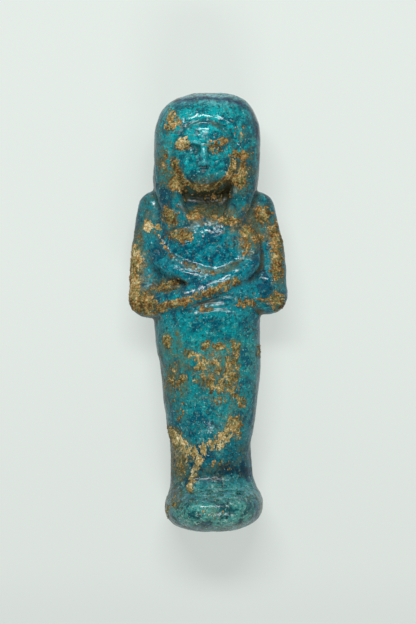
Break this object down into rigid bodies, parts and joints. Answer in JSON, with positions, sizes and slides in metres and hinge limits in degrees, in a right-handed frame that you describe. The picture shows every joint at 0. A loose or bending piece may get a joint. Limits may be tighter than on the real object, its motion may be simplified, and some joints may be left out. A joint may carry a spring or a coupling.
{
  "type": "ushabti figurine",
  "caption": "Glazed faience funerary figurine in the form of a mummy, with a long wig and crossed forearms, lying on its back.",
  "frame": {"origin": "centre of the figurine's plan on the ground that it lies on", "axes": "+Y from the feet to the crown of the head, +Z from the back to the face, +X to the figure's left"},
  "size_m": [0.0394, 0.11, 0.0262],
  "materials": {
    "faience_glaze": "glossy turquoise glaze with darker speckles, worn and pitted",
    "burial_crust": "matt tan sand and dirt stuck in the hollows"
  },
  "bodies": {
    "root": {"ushabti_figurine": "faience_glaze"}
  },
  "joints": []
}
